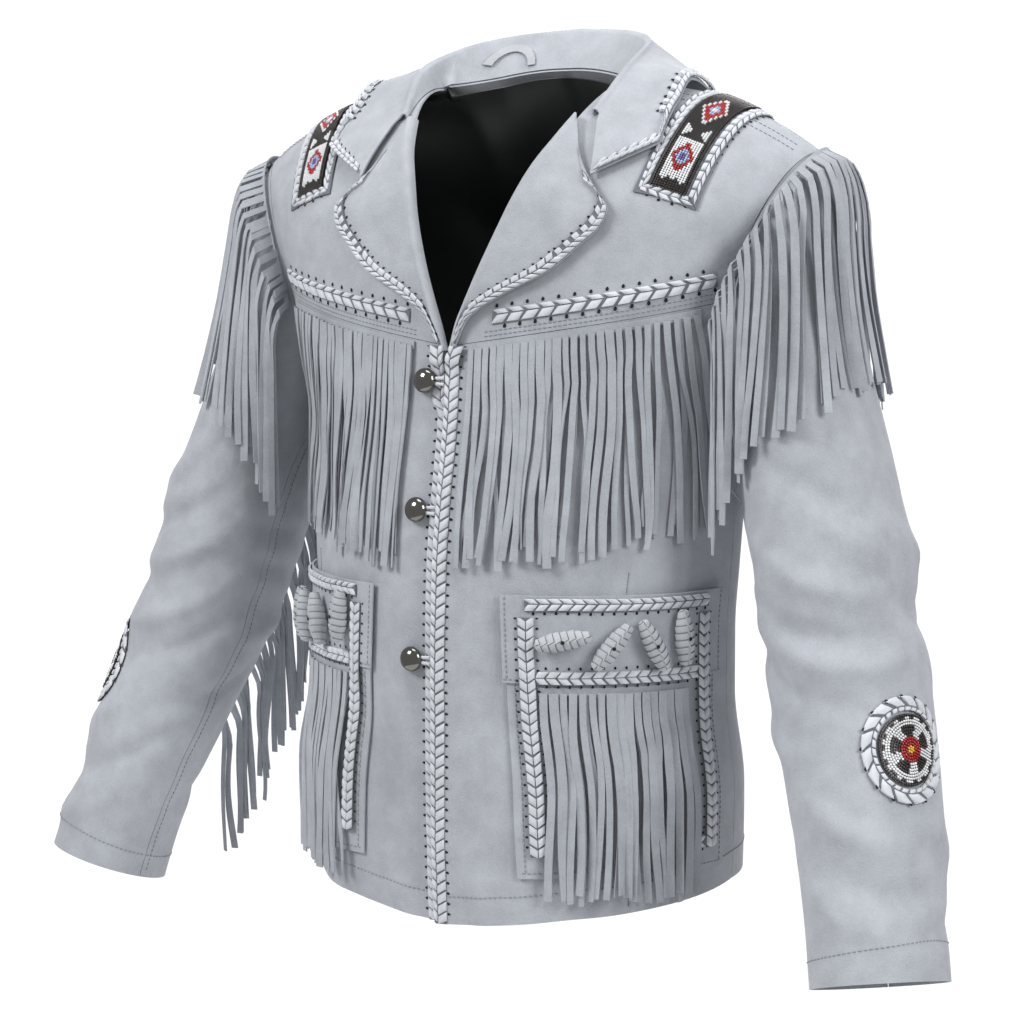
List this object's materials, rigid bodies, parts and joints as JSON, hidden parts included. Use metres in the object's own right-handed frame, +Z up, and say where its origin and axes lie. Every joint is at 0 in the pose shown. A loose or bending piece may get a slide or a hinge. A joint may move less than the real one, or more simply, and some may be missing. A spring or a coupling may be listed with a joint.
{
  "type": "western jacket",
  "caption": "Hip-length fringed suede jacket with laced edges, notched lapels, patch pockets, toggles and beadwork, held out as if worn.",
  "frame": {"origin": "the middle of the neck, level with the shoulders that carry the jacket", "axes": "+Z up along the neck, -Y out of the front, +X towards the wearer's left"},
  "size_m": [0.8066, 0.2844, 0.7216],
  "materials": {
    "suede": "pale blue-grey suede nap",
    "lace": "smooth white lacing",
    "lining": "black woven lining, slight sheen",
    "metal": "polished nickel, slightly warm",
    "beads": "small opaque glass beads, glossy"
  },
  "bodies": {
    "root": {"armhole_fringe_left": "lace", "armhole_fringe_right": "lace", "back": "suede", "bead_frame_left": "lace", "bead_frame_right": "lace", "bead_strip_left": "beads", "bead_strip_right": "beads", "button_1": "metal", "button_2": "metal", "button_3": "metal", "button_loop_1": "suede", "button_loop_2": "suede", "button_loop_3": "suede", "chest_fringe_left": "lace", "chest_fringe_right": "lace", "collar": "suede", "collar_lacing": "lace", "edge_lacing_left": "lace", "edge_lacing_right": "lace", "front_left": "suede", "front_right": "suede", "hanger_loop": "suede", "lapel_left": "suede", "lapel_right": "suede", "lining_back": "lining", "lining_front_left": "lining", "lining_front_right": "lining", "pocket_flap_left": "suede", "pocket_flap_right": "suede", "pocket_fringe_left": "lace", "pocket_fringe_right": "lace", "pocket_lacing_left": "lace", "pocket_lacing_right": "lace", "pocket_left": "suede", "pocket_right": "suede", "pocket_top_lacing_left": "lace", "pocket_top_lacing_right": "lace", "rosette_left": "beads", "rosette_right": "beads", "rosette_ring_left": "lace", "rosette_ring_right": "lace", "sleeve_fringe_left": "lace", "sleeve_fringe_right": "lace", "sleeve_under_left": "suede", "sleeve_under_right": "suede", "sleeve_upper_left": "suede", "sleeve_upper_right": "suede", "toggle_left_1": "suede", "toggle_left_2": "suede", "toggle_left_3": "suede", "toggle_left_4": "suede", "toggle_right_1": "suede", "toggle_right_2": "suede", "toggle_right_3": "suede", "toggle_right_4": "suede", "yoke_lacing_left": "lace", "yoke_lacing_right": "lace", "yoke_left": "suede", "yoke_right": "suede"}
  },
  "joints": []
}
